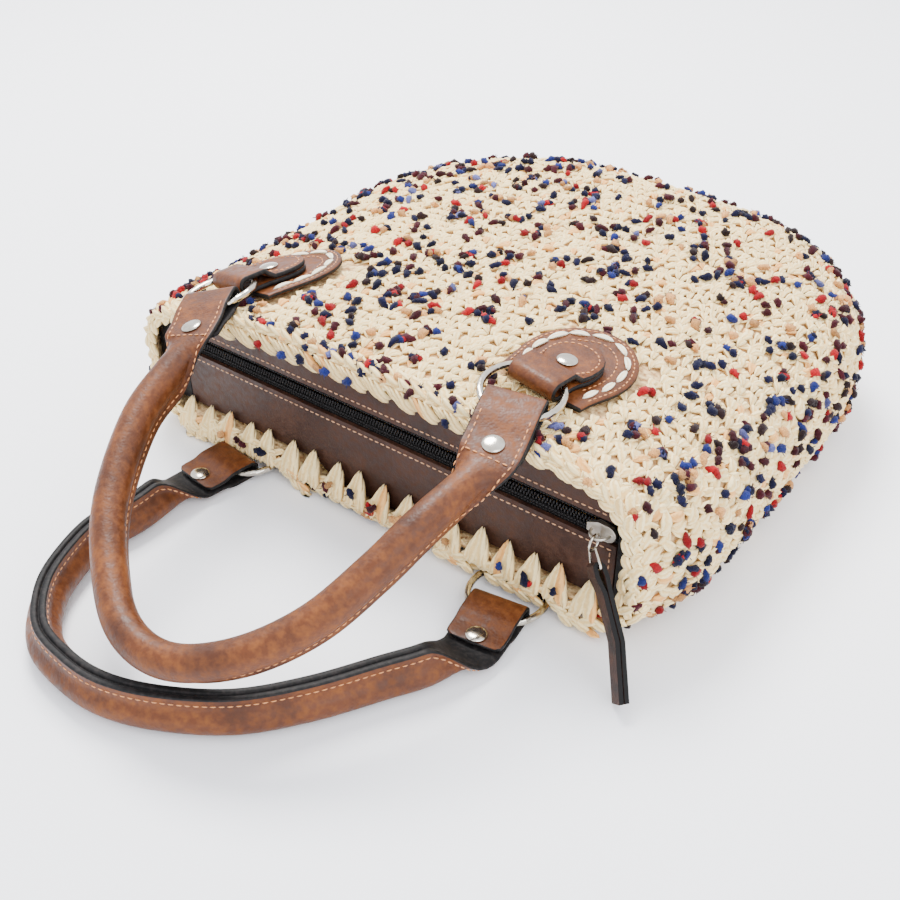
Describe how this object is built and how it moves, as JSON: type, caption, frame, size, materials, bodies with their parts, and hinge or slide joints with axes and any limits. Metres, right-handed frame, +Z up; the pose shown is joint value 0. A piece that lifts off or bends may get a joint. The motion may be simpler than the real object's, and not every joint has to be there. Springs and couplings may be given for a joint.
{
  "type": "crocheted handbag",
  "caption": "Soft crocheted handbag lying on its back, with a leather zip panel, rings on sewn tabs and rolled leather handles.",
  "frame": {"origin": "middle of the flat back panel the bag lies on", "axes": "+X along the mouth, +Y from the mouth and handles towards the bag's bottom, +Z up, out of the front panel"},
  "size_m": [0.3261, 0.4562, 0.1032],
  "materials": {
    "crochet": "cream ribbon yarn with coloured nubs, matte",
    "tan_leather": "waxed tan leather, satin",
    "panel_leather": "dark brown leather, satin",
    "black_edge": "black painted leather edge",
    "zip_fabric": "black zip tape and teeth",
    "nickel": "polished nickel"
  },
  "bodies": {
    "root": {"bag_front": "crochet", "bag_back": "crochet", "zip_panel_front": "panel_leather", "zip_panel_back": "panel_leather", "zip_tape_front": "zip_fabric", "zip_tape_back": "zip_fabric", "zip_teeth": "zip_fabric", "zip_slider": "nickel", "pull_ring": "nickel", "pull_link": "nickel", "pull_tab": "black_edge", "end_trim_left": "black_edge", "end_trim_right": "black_edge", "tab_patch_front_right": "tan_leather", "tab_patch_front_left": "tan_leather", "tab_patch_rear_right": "tan_leather", "tab_patch_rear_left": "tan_leather", "tab_strap_front_right": "tan_leather", "tab_strap_front_left": "tan_leather", "tab_strap_rear_right": "tan_leather", "tab_strap_rear_left": "tan_leather", "tab_rivet_front_right": "nickel", "tab_rivet_front_left": "nickel", "tab_rivet_rear_right": "nickel", "tab_rivet_rear_left": "nickel", "ring_front_right": "nickel", "ring_front_left": "nickel", "ring_rear_right": "nickel", "ring_rear_left": "nickel", "handle_rivet_front_right": "nickel", "handle_rivet_front_left": "nickel", "handle_rivet_rear_right": "nickel", "handle_rivet_rear_left": "nickel", "handle_front": "tan_leather", "handle_rear": "tan_leather"}
  },
  "joints": []
}
